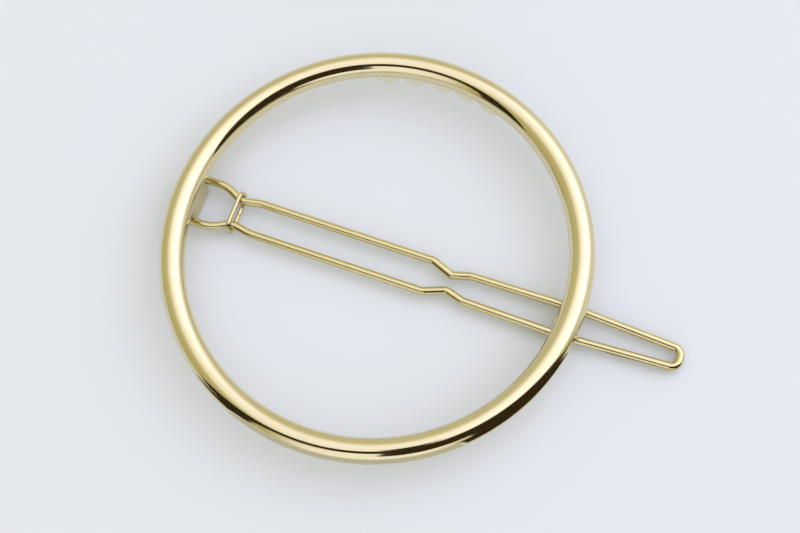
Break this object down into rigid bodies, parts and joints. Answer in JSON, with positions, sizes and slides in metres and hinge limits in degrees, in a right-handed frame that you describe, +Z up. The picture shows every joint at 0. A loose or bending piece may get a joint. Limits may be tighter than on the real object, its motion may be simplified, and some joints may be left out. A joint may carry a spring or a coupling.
{
  "type": "round hair clip",
  "caption": "Round hair clip: an open half-round metal ring with a hinged wire clasp behind it that snaps over a catch, and a short comb.",
  "frame": {"origin": "on the ground under the middle of the clip's outer box, as it lies on its back", "axes": "+Z up, out of the ring's domed front; +X along the clasp, from its hinge to its round tip; +Y towards the comb"},
  "size_m": [0.0558, 0.045, 0.0057],
  "materials": {
    "gold_plated_casting": "polished light gold plating",
    "gold_plated_wire": "bright light gold plating"
  },
  "bodies": {
    "frame": {"ring_frame": "gold_plated_casting"},
    "clasp": {"clasp_wire": "gold_plated_wire", "wire_collar": "gold_plated_wire"}
  },
  "joints": [
    {"name": "clasp_hinge", "type": "hinge", "parent": "frame", "child": "clasp", "pos_m": [-0.02635, 0, 0.00135], "axis": [0, 1, 0], "range_deg": [0, 225]}
  ]
}
